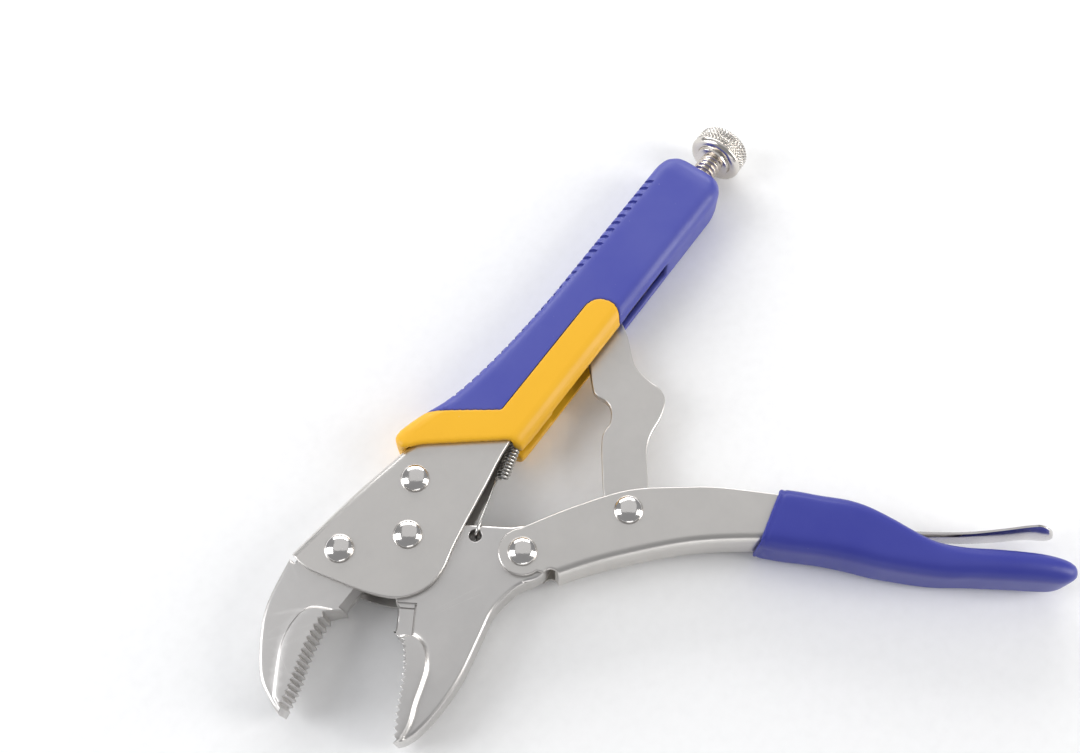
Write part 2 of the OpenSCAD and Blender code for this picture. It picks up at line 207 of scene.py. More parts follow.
# Marks on plated metal: cloudy patches, polishing grain along one way, and scratches in three ways
marks, given, out = shader_group(
    "plate_marks", [("Grain Angle", "Float", 0.0), ("Grain", "Float", 1.0), ("Scratches", "Float", 1.0)],
    [("Cloud", "Float"), ("Scratch", "Float"), ("Height", "Float")])
in_mm = in_millimetres(marks)
drawn_out = stretched(marks, swung(marks, in_mm, given["Grain Angle"]), (0.12, 2.6, 2.6))
grain = noise(marks, drawn_out, 1.0, 4.0, 0.6)
cloud = noise(marks, in_mm, 0.06, 4.0, 0.55)
scratch_width = 0.02
scratch_masks = []
for angle, scale, seed in ((0.5, 0.16, 3.0), (2.1, 0.13, 11.0), (1.2, 0.2, 23.0)):
    shifted = wire(marks, "VectorMath", {0: swung(marks, in_mm, angle), 1: (seed, seed, seed)},
                   operation="ADD").outputs["Vector"]
    cells = wire(marks, "TexVoronoi", {"Vector": stretched(marks, shifted, (0.1, 1.0, 0.3)), "Scale": scale},
                 feature="DISTANCE_TO_EDGE")
    thin = ramp(marks, cells.outputs["Distance"], 0.0, scratch_width, 1.0, 0.0)
    patches = ramp(marks, noise(marks, shifted, 0.05, 2.0), 0.52, 0.62)
    scratch_masks.append(times(marks, thin, patches))
two_ways = plus(marks, scratch_masks[0], scratch_masks[1])
scratch = times(marks, plus(marks, two_ways, scratch_masks[2]), given["Scratches"])
marks.links.new(ramp(marks, cloud, 0.3, 0.7), out["Cloud"])
marks.links.new(scratch, out["Scratch"])
height = plus(marks, times(marks, grain, given["Grain"]), times(marks, scratch, -1.6))
marks.links.new(height, out["Height"])


def material(name):
    made = bpy.data.materials.new(name)
    made.use_nodes = True
    tree = made.node_tree
    return made, tree, tree.nodes["Principled BSDF"]


def mixed(tree, factor, first, second):
    """A colour between two others. Each is a colour or the socket that gives one."""
    colours = [c if isinstance(c, bpy.types.NodeSocket) else (*c, 1) for c in (first, second)]
    made = wire(tree, "Mix", {"Factor": factor, 6: colours[0], 7: colours[1]}, data_type="RGBA")
    return made.outputs[2]


def raised(tree, shader, height, strength, depth):
    """Feeds a height in to a shader as relief, depth millimetres deep."""
    bump = wire(tree, "Bump", {"Strength": strength, "Distance": depth * MM, "Height": height})
    tree.links.new(bump.outputs["Normal"], shader.inputs["Normal"])


def plated(name, bright, dull, rough, spread, grain=1.0, scratches=1.0, angle=0.0):
    """A nickel plate. Its clouds are bright and smooth, and spread is how far roughness strays."""
    made, tree, shader = material(name)
    worn = tree.nodes.new("ShaderNodeGroup")
    worn.node_tree = marks
    worn.inputs["Grain Angle"].default_value = angle
    worn.inputs["Grain"].default_value = grain
    worn.inputs["Scratches"].default_value = scratches
    tree.links.new(mixed(tree, worn.outputs["Cloud"], dull, bright), shader.inputs["Base Color"])
    base = ramp(tree, worn.outputs["Cloud"], 0.0, 1.0, rough + spread, rough - spread)
    grained = plus(tree, base, times(tree, worn.outputs["Scratch"], 0.12))
    tree.links.new(grained, shader.inputs["Roughness"])
    shader.inputs["Metallic"].default_value = 1.0
    raised(tree, shader, worn.outputs["Height"], 0.35, 0.02)
    return made


pressed_steel = plated("pressed_steel", (0.74, 0.715, 0.685), (0.65, 0.63, 0.605), 0.33, 0.05, 0.7, 0.35)
forged_steel = plated("forged_steel", (0.72, 0.70, 0.68), (0.62, 0.605, 0.59), 0.34, 0.06, 1.0, 1.0, 0.7)
rivet_plate = plated("rivet_plate", (0.86, 0.84, 0.82), (0.78, 0.75, 0.72), 0.12, 0.03, 0.15, 0.4)
lever_plate = plated("lever_plate", (0.72, 0.70, 0.70), (0.60, 0.58, 0.57), 0.17, 0.04, 0.4, 0.8)
screw_plate = plated("screw_plate", (0.72, 0.66, 0.59), (0.52, 0.45, 0.38), 0.22, 0.05, 0.4, 0.3, 1.57)
knob_plate = plated("knob_plate", (0.80, 0.765, 0.72), (0.66, 0.62, 0.57), 0.20, 0.05, 0.4, 0.3, 1.57)
spring_wire = plated("spring_wire", (0.70, 0.69, 0.67), (0.55, 0.54, 0.52), 0.24, 0.05, 0.3, 0.2)
# Dark steel for the hidden pins and bush; on the jaw's seat grooves the same dark colour is painted shade.
hidden_and_groove_shade_steel = plated("hidden_and_groove_shade_steel", (0.36, 0.33, 0.30), (0.22, 0.20, 0.18), 0.42, 0.06, 1.0, 0.3)

floor_material, floor_tree, floor_shader = material("white_card")
fibres = noise(floor_tree, wire(floor_tree, "TexCoord").outputs["Object"], 260.0, 3.0)
floor_tone = ramp(floor_tree, fibres, 0.3, 0.7, 0.93, 0.96)
floor_colour = wire(floor_tree, "CombineColor", {"Red": floor_tone, "Green": floor_tone, "Blue": floor_tone})
floor_tree.links.new(floor_colour.outputs["Color"], floor_shader.inputs["Base Color"])
floor_shader.inputs["Roughness"].default_value = 0.9
floor_shader.inputs["Specular IOR Level"].default_value = 0.1
floor_mesh.materials.append(floor_material)


# ---- Fixed handle ----
# A steel sheet folded into a channel: the fold is its back, and two flat cheeks hang from it.
# The fold is round outside, and the cut edges of the cheeks are only just broken.
mid_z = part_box("main_pivot_rivet")[1].z / MM / 2
STEP = 0.8
CORNER = 28


def sections(node, height):
    """The outlines of a CAD node cut at a height, in mm, the largest first.
    Each runs with the solid on its left."""
    bm = bmesh.new()
    bm.from_mesh(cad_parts[node].data)
    bmesh.ops.remove_doubles(bm, verts=bm.verts[:], dist=1e-6)
    everything = bm.verts[:] + bm.edges[:] + bm.faces[:]
    bmesh.ops.bisect_plane(bm, geom=everything, dist=1e-8, plane_co=(0, 0, height * MM), plane_no=(0, 0, 1),
                           clear_inner=True, clear_outer=True)
    loops = []
    left = dict.fromkeys(bm.edges)
    while left:
        edge = left.popitem()[0]
        first, at = edge.verts
        loop = [first, at]
        while at is not first:
            edge = next((e for e in at.link_edges if e in left), None)
            if edge is None:
                break
            del left[edge]
            at = edge.other_vert(at)
            loop.append(at)
        loops.append(tidy_loop(np.array([v.co.xy for v in loop[:-1]]) / MM))
    bm.free()
    loops = sorted((p for p in loops if len(p) > 2), key=lambda p: -abs(area(p)))
    return [p if (area(p) > 0) == (i == 0) else p[::-1] for i, p in enumerate(loops)]


def area(p):
    q = np.roll(p, -1, 0)
    return 0.5 * float(np.sum(p[:, 0] * q[:, 1] - q[:, 0] * p[:, 1]))


def tidy_loop(p):
    """Leaves out points that stand on a straight line or on the one before."""
    p = p[np.linalg.norm(p - np.roll(p, 1, 0), axis=1) > 0.01]
    while len(p) > 3:
        a, b = np.roll(p, 1, 0), np.roll(p, -1, 0)
        u = b - a
        across = abs(u[:, 0] * (p - a)[:, 1] - u[:, 1] * (p - a)[:, 0])
        off = across / np.maximum(np.linalg.norm(u, axis=1), 1e-9)
        flat = off < 0.002
        flat[1::2] &= ~flat[:-1:2][: len(flat[1::2])]
        if not flat.any():
            break
        p = p[~flat]
    return p


def smoothed(p, step=STEP, closed=True):
    """A row of points as a smooth curve with points at even steps. Its sharp corners stay."""
    n = len(p)
    legs = [p[(i + 1) % n] - p[i] for i in range(n if closed else n - 1)]
    long = [np.linalg.norm(v) for v in legs]
    tangents = []
    for i in range(n):
        before, after = (i - 1) % n, i
        if not closed and i in (0, n - 1):
            tangents.append((legs[min(i, n - 2)] / long[min(i, n - 2)],) * 2)
            continue
        u, v = legs[before] / long[before], legs[after] / long[after]
        if math.degrees(math.acos(max(-1, min(1, float(u @ v))))) > CORNER:
            tangents.append((u, v))
            continue
        both = legs[before] * long[before] + legs[after] * long[after]
        tangents.append((both / np.linalg.norm(both),) * 2)
    made = []
    for i, leg in enumerate(legs):
        a, b = p[i], p[(i + 1) % n]
        start, end = tangents[i][1] * long[i], tangents[(i + 1) % n][0] * long[i]
        count = max(1, round(long[i] / step))
        for t in np.arange(count) / count:
            made.append((2 * t**3 - 3 * t**2 + 1) * a + (t**3 - 2 * t**2 + t) * start
                        + (3 * t**2 - 2 * t**3) * b + (t**3 - t**2) * end)
    return np.array(made if closed else made + [p[-1]])


def segments(row, closed=True):
    return (row, np.roll(row, -1, 0)) if closed else (row[:-1], row[1:])


def distance(points, a, b):
    """How far each point is from the nearest of the segments from a to b."""
    best = np.full(len(points), 1e9)
    leg = b - a
    long = np.maximum((leg * leg).sum(1), 1e-12)
    for k in range(0, len(points), 2000):
        part = points[k:k + 2000, None] - a[None]
        t = np.clip((part * leg).sum(2) / long, 0, 1)
        best[k:k + 2000] = np.linalg.norm(part - t[..., None] * leg, axis=2).min(1)
    return best


def inside(points, loops):
    """Which points lie inside a set of outlines, by counting the lines to one side of them."""
    a = np.concatenate([p for p in loops])
    b = np.concatenate([np.roll(p, -1, 0) for p in loops])
    found = np.zeros(len(points), bool)
    for k in range(0, len(points), 4000):
        x, y = points[k:k + 4000, :1], points[k:k + 4000, 1:]
        cross = (a[:, 1] > y) != (b[:, 1] > y)
        rise = np.where(abs(b[:, 1] - a[:, 1]) < 1e-12, 1e-12, b[:, 1] - a[:, 1])
        crossing = (b[:, 0] - a[:, 0]) * (y - a[:, 1]) / rise + a[:, 0]
        found[k:k + 4000] = (cross & (x < crossing)).sum(1) % 2 == 1
    return found


def beside(row, depth, closed=True):
    """A row of points moved to its left."""
    if closed:
        before, after = row - np.roll(row, 1, 0), np.roll(row, -1, 0) - row
    else:
        legs = np.diff(row, axis=0)
        before, after = np.vstack([legs[:1], legs]), np.vstack([legs, legs[-1:]])
    u = before / np.linalg.norm(before, axis=1, keepdims=True)
    v = after / np.linalg.norm(after, axis=1, keepdims=True)
    way = u + v
    way /= np.maximum(np.linalg.norm(way, axis=1, keepdims=True), 1e-9)
    spread = 1 / np.clip((way * u).sum(1), 0.6, 1)
    return row + np.stack([-way[:, 1], way[:, 0]], 1) * (depth * spread)[:, None]


def rounding(d, radius):
    """How far a rounded edge has fallen at distance d in from it."""
    t = np.clip(d, 0, radius)
    return radius - np.sqrt(np.maximum(radius**2 - (radius - t)**2, 0))


def depths(radius):
    """Distances in from a rounded edge that give it an even curve, and one more on the flat behind it."""
    turns = 7 if radius > 1 else 3
    return [radius * (1 - math.cos(math.pi / 2 * k / turns)) for k in range(1, turns + 1)] + [radius + 0.25]


def new_mesh(name, points, faces, finish=None, sharp=32):
    """A mesh object from points in mm."""
    mesh = bpy.data.meshes.new(name)
    mesh.from_pydata((np.asarray(points, float) * MM).tolist(), [], [list(map(int, f)) for f in faces])
    mesh.validate()
    if finish is not None:
        mesh.materials.append(finish)
    obj = add_object(name, mesh)
    shade(obj, sharp)
    return obj


def shade(obj, sharp=32):
    obj.data.shade_smooth()
    obj.data.set_sharp_from_angle(angle=math.radians(sharp))


def cad_half(node):
    """A function that gives half the thickness of a CAD node at places in plan, in mm."""
    bm = bmesh.new()
    bm.from_mesh(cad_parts[node].data)
    tree = BVHTree.FromBMesh(bm)
    bm.free()
    tries = [(0, 0)] + [(r * math.cos(a), r * math.sin(a)) for r in (0.05, 0.15, 0.3)
                        for a in np.arange(8) * math.pi / 4]

    def measure(points):
        found = []
        for x, y in points:
            above = (Vector(((x + u) * MM, (y + v) * MM, 1)) for u, v in tries)
            hits = (tree.ray_cast(place, Vector((0, 0, -1)))[0] for place in above)
            hit = next((h for h in hits if h is not None), None)
            found.append(hit.z / MM - mid_z if hit is not None else 0.5)
        return np.array(found)

    return measure


def spread_points(outlines, lines, spacing):
    """Points in even rows inside an outline, clear of the lines that its faces follow."""
    both = [segments(row, closed) for row, closed in lines]
    a, b = (np.concatenate([s[k] for s in both]) for k in (0, 1))
    low, high = outlines[0].min(0), outlines[0].max(0)
    xs, ys = np.arange(low[0], high[0], spacing), np.arange(low[1], high[1], spacing * 0.866)
    grid = np.array([(x + (j % 2) * spacing / 2, y) for j, y in enumerate(ys) for x in xs])
    grid = grid[inside(grid, outlines)]
    return grid[distance(grid, a, b) > spacing * 0.55]


def plate(name, outlines, guides, half, finish, spacing):
    """A plate that is alike on both sides of the tool's middle plane. half gives half its
    thickness at each point, and guides are (row, closed) lines that its faces follow."""
    lines = [(p, True) for p in outlines] + guides
    points, edges = [], []
    for row, closed in lines:
        base = len(points)
        points.extend(row)
        count = len(row) if closed else len(row) - 1
        edges += [(base + i, base + (i + 1) % len(row)) for i in range(count)]
    points.extend(spread_points(outlines, lines, spacing))
    made, _, faces = delaunay_2d_cdt([Vector(p) for p in points], edges, [], 0, 1e-4)[:3]
    made = np.array([tuple(p) for p in made])
    faces = np.array([f for f in faces if len(f) == 3])
    faces = faces[inside(made[faces].mean(1), outlines)]
    used = np.unique(faces)
    order = np.full(len(made), -1)
    order[used] = np.arange(len(used))
    made, faces = made[used], order[faces]
    thick = np.maximum(half(made), 0.05)
    n = len(made)
    top, bottom = np.column_stack([made, mid_z + thick]), np.column_stack([made, mid_z - thick])
    sides = {}
    for f in faces:
        for i in range(3):
            pair = (f[i], f[(i + 1) % 3])
            if pair[::-1] in sides:
                del sides[pair[::-1]]
            else:
                sides[pair] = True
    walls = [(j, i, i + n, j + n) for i, j in sides]
    faces = list(faces) + [f[::-1] + n for f in faces] + walls
    return new_mesh(name, np.vstack([top, bottom]), faces, finish)


def small_holes(outlines, limit=2.5):
    """The outer outline, with only the holes that no rivet fills."""
    return [outlines[0]] + [p for p in outlines[1:] if np.ptp(p[:, 0]) < 2 * limit]


def settle(obj):
    """Makes the shape that a piece's modifiers give it its own."""
    graph = bpy.context.evaluated_depsgraph_get()
    made = bpy.data.meshes.new_from_object(obj.evaluated_get(graph))
    obj.modifiers.clear()
    old, obj.data = obj.data, made
    bpy.data.meshes.remove(old)


def cut(obj, tool):
    """Cuts a tool's shape out of a piece. The tool is then thrown away."""
    change = obj.modifiers.new("cut", "BOOLEAN")
    change.operation, change.object, change.solver = "DIFFERENCE", tool, "EXACT"
    settle(obj)
    bpy.data.objects.remove(tool)
    shade(obj)


def prism(name, loop, low, high, finish=None):
    """A solid block over one outline, between two heights in mm."""
    if area(loop) < 0:
        loop = loop[::-1]
    rings = [np.column_stack([loop, np.full(len(loop), z)]) for z in (low, high)]
    return swept(name, rings, finish)


def swept(name, rings, finish, sharp=32):
    """A skin over rings of points, closed at both ends."""
    n = len(rings[0])
    last = (len(rings) - 1) * n
    faces = [tuple(range(n - 1, -1, -1)), tuple(range(last, last + n))]
    for j in range(len(rings) - 1):
        for k in range(n):
            a, b = j * n + k, j * n + (k + 1) % n
            faces.append((a, b, b + n, a + n))
    return new_mesh(name, np.concatenate(rings), faces, finish, sharp)


def longest_run(p, chosen):
    """The longest row of chosen edges with no sharp corner in it, and the row of all the others."""
    n = len(p)
    ways = np.roll(p, -1, 0) - p
    long = np.linalg.norm(ways, axis=1)
    cosines = (ways * np.roll(ways, 1, 0)).sum(1) / (long * np.roll(long, 1))
    sharp = cosines < math.cos(math.radians(CORNER))
    breaks = [i for i in range(n) if sharp[i] or not chosen[i] or not chosen[i - 1]]
    runs = [(a, (b - a) % n or n) for a, b in zip(breaks, breaks[1:] + breaks[:1]) if chosen[a]]
    start, count = max(runs, key=lambda r: sum(long[(r[0] + k) % n] for k in range(r[1])))
    turned = np.roll(p, -start, 0)
    return turned[:count + 1], np.vstack([turned[count:], turned[:1]])


def reach_of(node):
    """Half the thickness of a CAD node over all, in mm."""
    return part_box(node)[1].z / MM - mid_z


def channel(name, node):
    """A folded sheet channel: a thick plate with a round back, hollowed out between its cheeks."""
    high = reach_of(node)
    outlines = small_holes(sections(node, mid_z + high - 0.5), 1.0)
    web = sections(node, mid_z)[0]
    raw = outlines[0]
    outlines = [smoothed(p) for p in outlines]
    outline = outlines[0]
    middles = (raw + np.roll(raw, -1, 0)) / 2
    on_web = (distance(raw, *segments(web)) < 0.02) & (distance(middles, *segments(web)) < 0.02)
    fold, rest = longest_run(raw, on_web)
    fold, rest = smoothed(fold, closed=False), smoothed(rest, closed=False)
    overrun = 8
    ends = [fold[0] - overrun * (fold[1] - fold[0]) / np.linalg.norm(fold[1] - fold[0]),
            fold[-1] + overrun * (fold[-1] - fold[-2]) / np.linalg.norm(fold[-1] - fold[-2])]
    long_fold = np.vstack([ends[0], fold, ends[1]])
    fold_radius, edge_radius = 2.6, 0.35
    guides = [(beside(long_fold, d, False), False) for d in depths(fold_radius)]
    guides += [(beside(rest, d, False), False) for d in depths(edge_radius)]
    guides = [(row[inside(row, outlines)], closed) for row, closed in guides]

    def half(points):
        fold_drop = rounding(distance(points, *segments(long_fold, False)), fold_radius)
        edge_drop = rounding(distance(points, *segments(rest, False)), edge_radius)
        return high - fold_drop - edge_drop

    body = plate(name, outlines, guides, half, pressed_steel, 6)
    sheet = max(distance(web, *segments(outline)))
    inner = beside(long_fold, sheet, False)
    far = 60 * (outline.mean(0) - fold.mean(0)) / np.linalg.norm(outline.mean(0) - fold.mean(0))
    void = np.vstack([inner, inner[-1] + far, inner[0] + far])
    cut(body, prism("void", void, mid_z - high + sheet, mid_z + high - sheet))
    return body


fixed_handle = channel("fixed_handle", "upper_handle")
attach(fixed_handle, "fixed_frame")
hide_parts("upper_handle")

# ---- Moving handle ----
# The same sheet folded the other way: its fold is on the outer side, and its open side faces the
# fixed handle. The cheeks end in round noses with a small notch behind the pivot.
moving_handle = channel("moving_handle", "lower_handle")
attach(moving_handle, "moving_handle")
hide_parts("lower_handle")

# ---- Fixed jaw ----
# A forging held between the cheeks by two rivets. Its toothed pad stands out from both sides with a
# hollow fillet round it, and a cutting edge lies behind the teeth. The side is scratched from grinding.
def off_outline(loop, outline, away=0.25):
    """The rows of a loop's points that lie away from an outline, as smooth open lines."""
    far = distance(loop, *segments(outline)) > away
    if far.all():
        return [smoothed(np.vstack([loop, loop[:1]]), closed=False)]
    if not far.any():
        return []
    start = next(i for i in range(len(loop)) if far[i] and not far[i - 1])
    turned, flags = np.roll(loop, -start, 0), np.roll(far, -start)
    rows, row = [], []
    for point, flag, before in zip(turned, flags, np.roll(turned, 1, 0)):
        if flag:
            row = row or [before]
            row.append(point)
        elif row:
            rows.append(np.array(row + [point]))
            row = []
    if row:
        rows.append(np.array(row + [turned[0]]))
    return [smoothed(r, closed=False) for r in rows]


def runs_of(flags):
    """Rows of neighbouring places that are flagged."""
    flagged = np.flatnonzero(flags)
    return np.split(flagged, np.flatnonzero(np.diff(flagged) > 1) + 1)


def longest_around(flags):
    """The longest row of flagged places on a closed line."""
    first = next(i for i in range(len(flags)) if flags[i] and not flags[i - 1])
    order = np.roll(np.arange(len(flags)), -first)
    return order[max(runs_of(flags[order]), key=len)]


def jaw(name, node, side, fillet):
    """A forged jaw. side is half the thickness of its plain part, and fillet is the width of the
    hollow round its pads."""
    back_radius, edge_radius = 1.1, 0.18
    proud = reach_of(node) - side
    measure = cad_half(node)
    outlines = [smoothed(p) for p in small_holes(sections(node, mid_z))]
    outline = outlines[0]
    pads = sections(node, mid_z + side + proud / 2)
    pad = smoothed(pads[0])
    pad_edge = max(off_outline(pads[0], outline, 0.06), key=len)
    plain = distance(outline, *segments(pad)) >= 1.5
    steps = []
    for level in (0.06, 0.65, 1.15):
        for row in off_outline(sections(node, mid_z + side - level)[0], outline):
            steps.append(row)
            plain &= distance(outline, *segments(row, False)) >= 1.8
    back = outline[longest_around(plain)]
    guides = [(beside(back, d, False), False) for d in depths(back_radius)]
    guides += [(beside(p, d), True) for p in outlines for d in depths(edge_radius)]
    round_pad = [-0.4, -0.15, 0.03] + [fillet * k for k in (0.12, 0.3, 0.5, 0.75, 1.0)]
    guides += [(beside(pad_edge, -d, False), False) for d in round_pad]
    bevelled = measure(beside(outline, 0.12)) < side * 0.6
    for run in runs_of(bevelled):
        if len(run) > 2:
            across = (0.1, 0.35, 0.6, 0.85, 1.1, 1.32, 1.44)
            guides += [(beside(outline[run], d, False), False) for d in across]
    for row in steps:
        guides += [(beside(row, d, False), False) for d in (-0.04, 0.04)]
    guides = [(row[inside(row, outlines)], closed) for row, closed in guides]

    def half(points):
        made = np.minimum(measure(points), side)
        out = distance(points, *segments(pad)) * np.where(inside(points, [pad]), -1, 1)
        t = np.clip(out / fillet, 0, 1)
        hollow = proud * (1 - np.sqrt(np.maximum(1 - (1 - t)**2, 0)))
        top = proud - 0.4 * rounding(distance(points, *segments(pad_edge, False)), 0.5)
        made += np.where(made > side - 0.4, np.where(out < 0, top, hollow), 0)
        made -= rounding(distance(points, *segments(back, False)), back_radius)
        return made - rounding(min_edge(points, outlines), edge_radius)

    return plate(name, outlines, guides, half, forged_steel, 1.6)


def min_edge(points, outlines):
    return np.min([distance(points, *segments(p)) for p in outlines], axis=0)


def main_half(node):
    """Half the thickness of most of a CAD node, in mm."""
    low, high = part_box(node)
    xs, ys = np.linspace(low.x, high.x, 30) / MM, np.linspace(low.y, high.y, 30) / MM
    grid = np.array([(x, y) for x in xs for y in ys])
    found = np.round(cad_half(node)(grid[inside(grid, sections(node, mid_z))]), 2)
    values, counts = np.unique(found, return_counts=True)
    return float(values[counts.argmax()])


fixed_jaw = jaw("fixed_jaw_forging", "fixed_jaw", main_half("fixed_jaw"), 0.8)
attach(fixed_jaw, "fixed_frame")
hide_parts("fixed_jaw")

# ---- Moving jaw ----
# The second forging turns on the main rivet and carries the moving handle's pivot. It has a pad like
# the fixed jaw's, a milled seat for the wire cutter and a small hole for the spring's hook.
moving_side = main_half("movable_jaw")
moving_jaw = jaw("moving_jaw_forging", "movable_jaw", moving_side, 1.9)
opened = math.radians(32.2)
turn = np.array([(math.cos(opened), math.sin(opened)), (-math.sin(opened), math.cos(opened))])
groove_floor = moving_side - 2.6
# One groove along the seat's inner side and one across its rear end, as they lie when closed. Their cutters
# carry the dark inner steel, painted shade on the grooves' walls.
for x_low, x_high, y_low, y_high in ((-30.0, -20.7, -4.95, -4.2), (-22.3, -21.8, -4.2, 1.3)):
    corners = np.array([(x_low, y_low), (x_high, y_low), (x_high, y_high), (x_low, y_high)]) @ turn
    for low, high in ((groove_floor, moving_side + 1), (-moving_side - 1, -groove_floor)):
        cut(moving_jaw, prism("seat_groove", corners, mid_z + low, mid_z + high, hidden_and_groove_shade_steel))
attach(moving_jaw, "moving_jaw")
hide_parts("movable_jaw")


# ---- Rivets ----
# Five solid rivets with domed heads pressed bright. The flat at the top of each head is left by
# the press, and the tool lies on the flats of its lower heads.
def spun(name, rows, place, way, finish, count, shift=None):
    """A piece turned about an axis along way. Each row holds a place on the axis and a radius,
    and shift may change a radius by place and angle."""
    way = Vector(way)
    across = way.orthogonal().normalized()
    other = way.cross(across)
    rings = []
    for along, radius in rows:
        ring = []
        for k in range(count):
            a = 2 * math.pi * k / count
            r = radius + (shift(along, a) if shift else 0)
            ring.append(Vector(place) + way * along + (across * math.cos(a) + other * math.sin(a)) * r)
        rings.append(np.array(ring))
    return swept(name, rings, finish)


def rivet(node, body):
    """A rivet with a domed head at each end. Each row is a depth below the top and a radius."""
    low, high = (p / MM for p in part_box(node))
    radius = (high.x - low.x) / 2
    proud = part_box("upper_handle")[0].z / MM - low.z
    head = [(0, 1.15), (0.06, 1.5)]
    for k in range(10, -1, -1):
        a = math.pi / 2 * k / 12
        head.append((proud * (1 - math.sin(a)**0.95), radius * math.cos(a)**0.9))
    head.append((proud + 0.3, radius - 0.1))
    thick = high.z - low.z
    shank = [(proud + 0.35, radius * 0.6), (thick - proud - 0.35, radius * 0.6)]
    rows = head + shank + [(thick - along, r) for along, r in reversed(head)]
    at = ((low.x + high.x) / 2, (low.y + high.y) / 2, low.z)
    made = spun(node + "_turned", rows, at, (0, 0, 1), rivet_plate, 64)
    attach(made, body)
    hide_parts(node)


for node in ("front_jaw_rivet", "rear_jaw_rivet", "main_pivot_rivet"):
    rivet(node, "fixed_frame")
for node in ("handle_pivot_rivet", "toggle_rivet"):
    rivet(node, "moving_handle")

# ---- Toggle link ----
# A stamped steel plate between the moving handle and the screw. Its edges are broken by tumbling.
link_outline = [smoothed(p) for p in small_holes(sections("toggle_link", mid_z))]
link_round = 0.4
link_guides = [(beside(link_outline[0], d), True) for d in depths(link_round)]


def link_half(points):
    return reach_of("toggle_link") - rounding(min_edge(points, link_outline), link_round)


toggle_link = plate("stamped_toggle_link", link_outline, link_guides, link_half, pressed_steel, 5)
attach(toggle_link, "link")
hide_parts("toggle_link")

# ---- Release lever ----
# A bent steel strip that turns on a pin inside the moving handle. Its free end flares into a
# rounded, slightly dished finger pad.
def middle(node):
    low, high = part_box(node)
    return ((low + high) / 2).xy / MM


handle_pivot = np.array(middle("handle_pivot_rivet"))
toggle_pivot = np.array(middle("toggle_rivet"))
handle_way = (toggle_pivot - handle_pivot) / np.linalg.norm(toggle_pivot - handle_pivot)


def in_handle(row):
    """Points in the moving handle's own axes, placed in the frame."""
    row = np.asarray(row, float)
    return handle_pivot + row[:, :1] * handle_way + row[:, 1:] * np.array([-handle_way[1], handle_way[0]])


lever_line = smoothed(in_handle([(75, -23.2), (84, -26.2), (97, -30.6), (108, -35.4), (116, -39.3),
                                 (128, -44.4), (140, -48.7), (150, -51.9), (155.4, -55)]), 0.35, False)
lever_thick = 1.5
spoon_half = reach_of("release_lever")
strip_half = spoon_half * 0.74
flare_start, flare_long = 34, 22
tip_round = 6.5
dish_start, dish_long, dish_deep = 26, 20, 1.1
legs = np.linalg.norm(np.diff(lever_line, axis=0), axis=1)
to_tip = np.concatenate([np.cumsum(legs[::-1])[::-1], [0]])
ways = np.gradient(lever_line, axis=0)
ways /= np.linalg.norm(ways, axis=1, keepdims=True)
outward = np.stack([-ways[:, 1], ways[:, 0]], 1)
rings = []
for at, out_way, left_over in zip(lever_line, outward, to_tip):
    flare = np.clip((flare_start - left_over) / flare_long, 0, 1)
    wide = strip_half + (spoon_half - strip_half) * flare**2 * (3 - 2 * flare)
    if left_over < tip_round:
        wide *= math.sqrt(max(1 - ((tip_round - left_over) / (tip_round + 0.1))**2, 0.0)) * 0.96 + 0.04
    dish = dish_deep * np.clip((dish_start - left_over) / dish_long, 0, 1)
    ring = []
    for face in (1, -1):
        for across in np.linspace(-1, 1, 13) * face:
            thin = lever_thick / 2 * (1 - abs(across)**10 * 0.55)
            bow = dish * (across**2 - 0.35) * (wide / spoon_half)**2
            ring.append((*(at + out_way * (face * thin + bow)), mid_z + across * wide))
    rings.append(np.array(ring))
release_lever = swept("bent_release_lever", rings, lever_plate, 50)
hub_rows = [(0, 2.7), (0.3, 2.9), (2 * strip_half - 0.3, 2.9), (2 * strip_half, 2.7)]
hub = spun("lever_hub", hub_rows, (*middle("release_pin"), mid_z - strip_half), (0, 0, 1), lever_plate, 40)
for piece in (release_lever, hub):
    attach(piece, "lever")
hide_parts("release_lever")

# ---- Adjusting screw ----
# A rod with a rounded, rolled thread. Only the stretch that can show has its thread; the rest
# lies inside the bush and the handle.
screw_low, screw_high = (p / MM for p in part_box("adjusting_screw"))
screw_radius = (screw_high.z - screw_low.z) / 2
PITCH = 1.75
thread_depth = 0.75


def thread(along, a):
    """How far the rolled thread lies under its crest, as a number below nought."""
    turn = (along / PITCH - a / (2 * math.pi)) % 1
    dip = 0.5 - 0.5 * math.cos(2 * math.pi * turn)
    fade = min(1, max(0, (along - 2) / 2))
    return -thread_depth * dip**1.4 * fade


thread_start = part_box("threaded_bush")[0].x / MM - 6
tip = screw_low.x - thread_start
thread_rows = [(tip, screw_radius * 0.75), (tip + 0.8, screw_radius)]
thread_rows += [(x, screw_radius) for x in np.arange(0, screw_high.x - thread_start + 0.01, PITCH / 12)]
screw = spun("threaded_rod", thread_rows, (thread_start, 0, mid_z), (1, 0, 0), screw_plate, 48, thread)
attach(screw, "screw_rod")
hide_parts("adjusting_screw")

# ---- Adjusting knob ----
# A turned steel knob with a short neck, a hollow front face and a domed back. Its rim and its dome
# carry a coarse diamond knurl.
knob_low, knob_high = (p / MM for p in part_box("adjusting_knob"))
knob_radius = (knob_high.z - knob_low.z) / 2
knob_long = knob_high.x - knob_low.x
KNURLS = 44
knurl_depth = 0.5
knurl_start = 3.0
knurl_step = 1.36
dome_start = 7.6
dome_top_radius = 4.2


def knurl(along, a):
    """How deep the knurl's two sets of slanting cuts are, as a number below nought."""
    if along < knurl_start:
        return 0
    turns = KNURLS * a / (2 * math.pi)
    up = abs((turns + along / knurl_step) % 1 - 0.5) * 2
    down = abs((turns - along / knurl_step) % 1 - 0.5) * 2
    fade = min(1, (along - knurl_start) / 0.5) * min(1, max(0, (knob_long - 0.9 - along) / 1.2))
    return -knurl_depth * max(1 - up, 1 - down)**1.1 * fade


